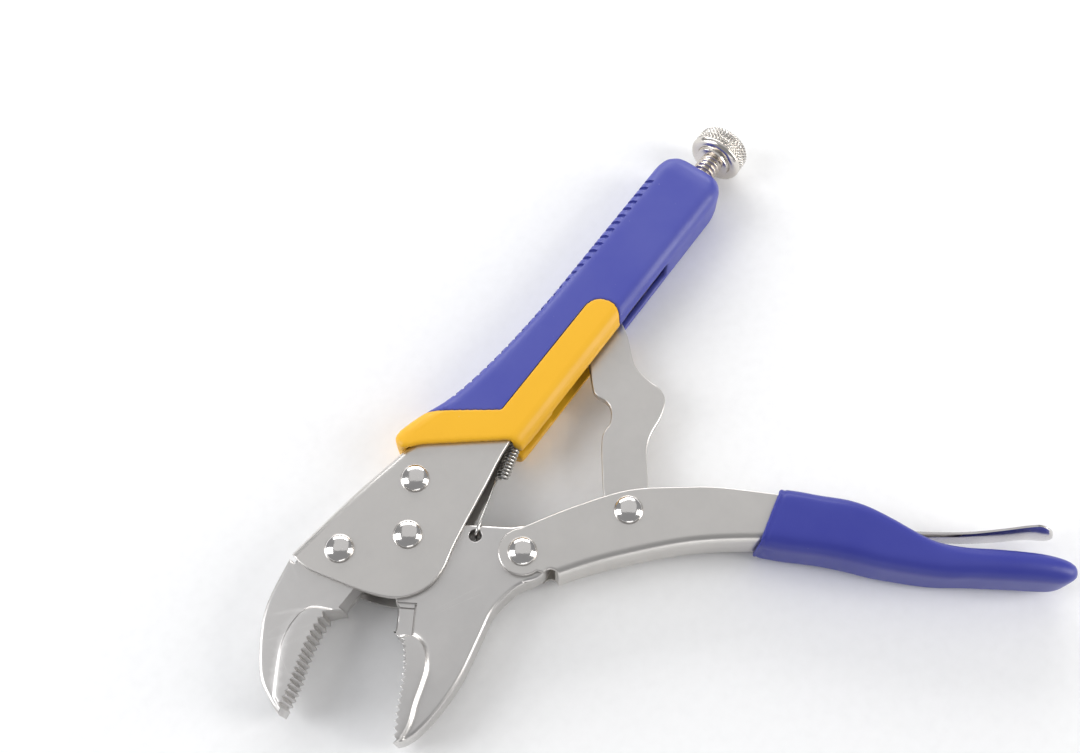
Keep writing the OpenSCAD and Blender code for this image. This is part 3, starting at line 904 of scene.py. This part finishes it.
knob_rows = [(0, 5.9), (0.15, 6.3), (0.9, 6.45), (1.1, 6.2), (1.25, 6.4), (1.0, 7.2), (1.05, 8.3),
             (1.5, 9.2), (2.2, 9.65)]
knob_rows += [(x, knob_radius) for x in np.arange(2.7, dome_start, 0.14)]
for k in range(1, 25):
    a = math.pi / 2 * k / 24
    knob_rows.append((dome_start + (knob_long - dome_start) * math.sin(a),
                      dome_top_radius + (knob_radius - dome_top_radius) * math.cos(a)))
knob_rows.append((knob_long - 0.25, 3.6))
knob = spun("knurled_knob", knob_rows, (knob_low.x, 0, mid_z), (1, 0, 0), knob_plate, KNURLS * 7, knurl)
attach(knob, "knob")
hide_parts("adjusting_knob")


# ---- Spring and hook ----
# Drawn wire: a close-wound tension spring from a pin inside the fixed handle, and a straight hook
# that runs over the moving jaw's side into its small hole.
def tube(name, path, radius, finish, sides=10):
    """A round wire along a path."""
    path = np.asarray(path, float)
    ways = np.gradient(path, axis=0)
    ways /= np.linalg.norm(ways, axis=1, keepdims=True)
    across = np.cross(ways[0], (0.3, 0.5, 0.81))
    rings = []
    for at, way in zip(path, ways):
        across = across - way * (across @ way)
        across /= np.linalg.norm(across)
        other = np.cross(way, across)
        rings.append(np.array([at + radius * (across * math.cos(a) + other * math.sin(a))
                               for a in np.arange(sides) * 2 * math.pi / sides]))
    return swept(name, rings, finish, 60)


hole_loops = [p for p in sections("movable_jaw", mid_z)[1:] if np.ptp(p[:, 0]) < 5]
spring_hole = hole_loops[0].mean(0)
anchor = np.array(middle("spring_anchor_pin"))
span = float(np.linalg.norm(anchor - spring_hole))
spring_way = np.array([*(anchor - spring_hole) / span, 0])
spring_side = np.array([-spring_way[1], spring_way[0], 0])
spring_up = np.array([0, 0, 1])
spring_origin = np.array([*spring_hole, mid_z])
wire_radius = 0.45
coil_radius = 1.95
hook_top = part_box("spring_hook")[1].z / MM - mid_z - wire_radius
hook_long = 21.5
end_bend = 0.9
COILS = 21
steps_round = 20


def in_spring(rows):
    """Places given along the spring, to its side and up, as places in the tool."""
    rows = np.asarray(rows, float)
    return spring_origin + rows[:, :1] * spring_way + rows[:, 1:2] * spring_side + rows[:, 2:] * spring_up


def softened(rows):
    """A polyline with its corners rounded by repeated cutting."""
    rows = np.asarray(rows, float)
    for _ in range(3):
        a, b = rows[:-1], rows[1:]
        quarters = np.stack([0.75 * a + 0.25 * b, 0.25 * a + 0.75 * b], 1).reshape(-1, 3)
        rows = np.vstack([rows[:1], quarters, rows[-1:]])
    return rows


hook_path = softened([(0.9, 0, -2), (0.2, 0, 0), (0, 0, hook_top), (5.5, 0, hook_top),
                      (hook_long - 2.5, 1.2, 1.2), (hook_long, coil_radius, 0),
                      (hook_long + 0.6, 0.4, -1.7)])
hook = tube("wire_hook", in_spring(hook_path), wire_radius, spring_wire)
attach(hook, "hook")
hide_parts("spring_hook")

coil_start, coil_end = hook_long + 0.5, span - coil_radius - end_bend
coil_path = []
for k in range(COILS * steps_round + 1):
    a = 2 * math.pi * k / steps_round
    t = k / (COILS * steps_round)
    swell = min(1, 0.75 + 6 * t)
    coil_path.append((coil_start + (coil_end - coil_start) * t, swell * coil_radius * math.cos(a),
                      swell * coil_radius * math.sin(a)))
for k in range(1, 7):
    a = math.pi / 2 * k / 6
    coil_path.append((coil_end + end_bend * (1 - math.cos(a)), coil_radius, end_bend * math.sin(a)))
for k in range(1, 22):
    a = math.pi / 2 - math.pi / 12 * k
    coil_path.append((span + coil_radius * math.cos(a), coil_radius * math.sin(a), end_bend))
spring = tube("wound_spring", in_spring(coil_path), wire_radius, spring_wire, 8)
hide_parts("tension_spring")
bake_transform(spring)


# ---- Moulded plastic ----
# Both grips are satin vinyl from a lightly blasted mould, with rubbed patches and a few specks.
skin, given, out = shader_group("mould_marks", [("Fineness", "Float", 2.2)],
                                [("Cloud", "Float"), ("Speck", "Float"), ("Height", "Float")])
in_mm = in_millimetres(skin)
fine = wire(skin, "TexNoise", {"Vector": in_mm, "Scale": given["Fineness"], "Detail": 3.0}).outputs["Fac"]
waves = noise(skin, in_mm, 0.16, 3.0)
specks = ramp(skin, noise(skin, in_mm, 0.9, 1.0), 0.80, 0.84)
skin.links.new(ramp(skin, noise(skin, in_mm, 0.05, 3.0), 0.3, 0.7), out["Cloud"])
skin.links.new(specks, out["Speck"])
skin.links.new(plus(skin, times(skin, fine, 0.35), times(skin, waves, 3.0)), out["Height"])


def vinyl(name, colour, rubbed, rough):
    """A satin plastic. rubbed is its colour where it is worn smooth."""
    made, tree, shader = material(name)
    worn = tree.nodes.new("ShaderNodeGroup")
    worn.node_tree = skin
    tone = mixed(tree, worn.outputs["Cloud"], colour, rubbed)
    dusty = mixed(tree, times(tree, worn.outputs["Speck"], 0.25), tone, (0.75, 0.75, 0.8))
    tree.links.new(dusty, shader.inputs["Base Color"])
    uneven = ramp(tree, worn.outputs["Cloud"], 0.0, 1.0, rough + 0.05, rough - 0.04)
    tree.links.new(uneven, shader.inputs["Roughness"])
    raised(tree, shader, worn.outputs["Height"], 0.3, 0.05)
    return made


blue_vinyl = vinyl("blue_vinyl", (0.056, 0.066, 0.37), (0.075, 0.086, 0.385), 0.40)
# The lower grip's vinyl is a darker copy of the blue vinyl: the darker colour is painted shade, while its
# lower specular level is real.
lower_grip_shaded_vinyl = vinyl("lower_grip_shaded_vinyl", (0.038, 0.045, 0.30), (0.050, 0.058, 0.32), 0.38)
lower_grip_shaded_vinyl.node_tree.nodes["Principled BSDF"].inputs["Specular IOR Level"].default_value = 0.3
# A much darker blue for the grooves' walls: painted shade inside the grooves.
groove_shade_vinyl = vinyl("groove_shade_vinyl", (0.018, 0.020, 0.13), (0.028, 0.031, 0.18), 0.55)
yellow_vinyl = vinyl("yellow_vinyl", (0.86, 0.45, 0.010), (0.88, 0.47, 0.014), 0.42)


# ---- Fixed grip and its guard ----
# Blue vinyl moulded over the rear of the fixed handle, with slanting grooves along its back, and a
# yellow guard with an arm along the underside. A thin crease marks where the two colours meet.
def cad_copy(name, node):
    """A bare copy of a CAD node's shape."""
    made = add_object(name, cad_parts[node].data.copy())
    made.data.materials.clear()
    return made


def moulded(obj, finish, turns=3):
    """Turns a sharp body into a moulded one: even faces, and every edge a little round."""
    even = obj.modifiers.new("even", "REMESH")
    even.mode, even.voxel_size = "VOXEL", 0.5 * MM
    soft = obj.modifiers.new("soft", "SMOOTH")
    soft.factor, soft.iterations = 0.5, turns
    thin = obj.modifiers.new("thin", "DECIMATE")
    thin.ratio = 0.5
    settle(obj)
    obj.data.materials.clear()
    obj.data.materials.append(finish)
    shade(obj, 60)


def soften(obj, chosen, turns):
    """Rounds a body further where chosen picks its points."""
    bm = bmesh.new()
    bm.from_mesh(obj.data)
    picked = chosen(np.array([v.co for v in bm.verts]) / MM)
    verts = [v for v, pick in zip(bm.verts, picked) if pick]
    for _ in range(turns):
        bmesh.ops.smooth_vert(bm, verts=verts, factor=0.5, use_axis_x=True, use_axis_y=True, use_axis_z=True)
    bm.to_mesh(obj.data)
    bm.free()
    shade(obj, 60)


def away_from(other, gap):
    """Picks points more than gap from another body."""
    bm = bmesh.new()
    bm.from_mesh(other.data)
    tree = BVHTree.FromBMesh(bm)
    bm.free()
    return lambda points: [tree.find_nearest(Vector(p) * MM, gap * MM)[0] is None for p in points]


fixed_grip = cad_copy("fixed_grip_vinyl", "fixed_grip")
grip_guard = cad_copy("guard_vinyl", "grip_guard")
grip_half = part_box("fixed_grip")[1].z / MM - mid_z
back_loop = sections("fixed_grip", mid_z)[0]


def back_at(x):
    """The height of the grip's back above a place along the handle."""
    a, b = segments(back_loop)
    over = (a[:, 0] > x) != (b[:, 0] > x)
    a, b = a[over], b[over]
    return float(np.max(a[:, 1] + (b[:, 1] - a[:, 1]) * (x - a[:, 0]) / (b[:, 0] - a[:, 0])))


GROOVES = 31
GROOVE_PITCH = 3.43
first_groove = 147.7
groove_wide = 1.5
groove_deep = 1.1
groove_lean = 0.15
corner = 4.5


def groove_loop(reach_in):
    """A groove's outline as (depth under the back, height): it wraps the grip down to reach_in."""
    past = grip_half + 1
    inner_z = grip_half - groove_deep
    bend = corner - groove_deep
    depths_in = [(groove_deep + bend * (1 - math.sin(t)), inner_z - bend + bend * math.cos(t))
                 for t in np.linspace(0, math.pi / 2, 7)]
    edge_z = inner_z - bend + math.sqrt(max(bend**2 - max(0, bend + groove_deep - reach_in)**2, 0))
    right = [(reach_in, edge_z)] + [at for at in depths_in if at[0] < reach_in]
    left = [(d, -z) for d, z in reversed(right)]
    return [(-1.5, -past), (-1.5, past), (reach_in, past)] + right + left + [(reach_in, -past)]


groove_tools = bmesh.new()
for k in range(GROOVES):
    x = first_groove - k * GROOVE_PITCH
    loop = groove_loop(np.interp(x, (60, 96, 100, 112), (1.3, 1.5, 2.2, 3.5)))
    slope = (back_at(x + 1) - back_at(x - 1)) / 2
    along = np.array([1, slope]) / math.hypot(1, slope)
    inward = np.array([along[1], -along[0]])
    rings = []
    for shift in (0, groove_wide):
        ring = []
        for down, z in loop:
            at = np.array([x, back_at(x)]) + along * (groove_lean * down + shift) + inward * down
            ring.append(groove_tools.verts.new((at[0] * MM, at[1] * MM, (mid_z + z) * MM)))
        rings.append(ring)
    groove_tools.faces.new(rings[0])
    groove_tools.faces.new(rings[1][::-1])
    for i in range(len(loop)):
        j = (i + 1) % len(loop)
        groove_tools.faces.new((rings[0][j], rings[0][i], rings[1][i], rings[1][j]))
bmesh.ops.recalc_face_normals(groove_tools, faces=groove_tools.faces[:])
groove_mesh = bpy.data.meshes.new("grooves")
groove_tools.to_mesh(groove_mesh)
groove_tools.free()
# The groove cutters carry the dark groove vinyl, painted shade on the grooves' walls.
groove_mesh.materials.append(groove_shade_vinyl)
moulded(fixed_grip, blue_vinyl)
moulded(grip_guard, yellow_vinyl)
soften(fixed_grip, away_from(grip_guard, 3.0), 14)
front_edge = np.array([(20.3, 18.6), (25, 15), (43, -7.2), (45, -30)])
peak = (20.5, 21.5)
soften(grip_guard, lambda points: distance(points[:, :2], *segments(front_edge, False)) < 4.5, 12)
soften(grip_guard, lambda points: np.linalg.norm(points[:, :2] - peak, axis=1) < 5.0, 30)
side_shrink = 0.98
for vertex in fixed_grip.data.vertices:
    vertex.co.z = (mid_z + (vertex.co.z / MM - mid_z) * side_shrink) * MM
cut(fixed_grip, add_object("grooves", groove_mesh))
shade(fixed_grip, 50)
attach(fixed_grip, "fixed_frame")
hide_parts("fixed_grip")
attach(grip_guard, "fixed_frame")
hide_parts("grip_guard")

# ---- Lower grip ----
# Blue vinyl dipped over the moving handle, smooth all over, with a thin rim round its mouth.
lower_grip = cad_copy("lower_grip_vinyl", "lower_grip")
# Its darker vinyl is painted shade.
moulded(lower_grip, lower_grip_shaded_vinyl, turns=22)
mouth = in_handle([(67.6, -24.9), (82.2, -10.8)])
mouth_way = (mouth[1] - mouth[0]) / np.linalg.norm(mouth[1] - mouth[0])
rim_back, rim_wide, rim_deep = 1.5, 0.45, 0.28
for vertex in lower_grip.data.vertices:
    at = np.array(vertex.co.xy) / MM - mouth[0]
    behind = abs(mouth_way[0] * at[1] - mouth_way[1] * at[0])
    vertex.co -= vertex.normal * (rim_deep * math.exp(-((behind - rim_back) / rim_wide)**2) * MM)
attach(lower_grip, "moving_handle")
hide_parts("lower_grip")

# ---- Hidden pins and bush ----
# Turned steel pieces inside the handles keep their plain shapes.
for node in ("spring_anchor_pin", "threaded_bush", "release_pin"):
    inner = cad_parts[node].data
    inner.materials.clear()
    inner.materials.append(hidden_and_groove_shade_steel)
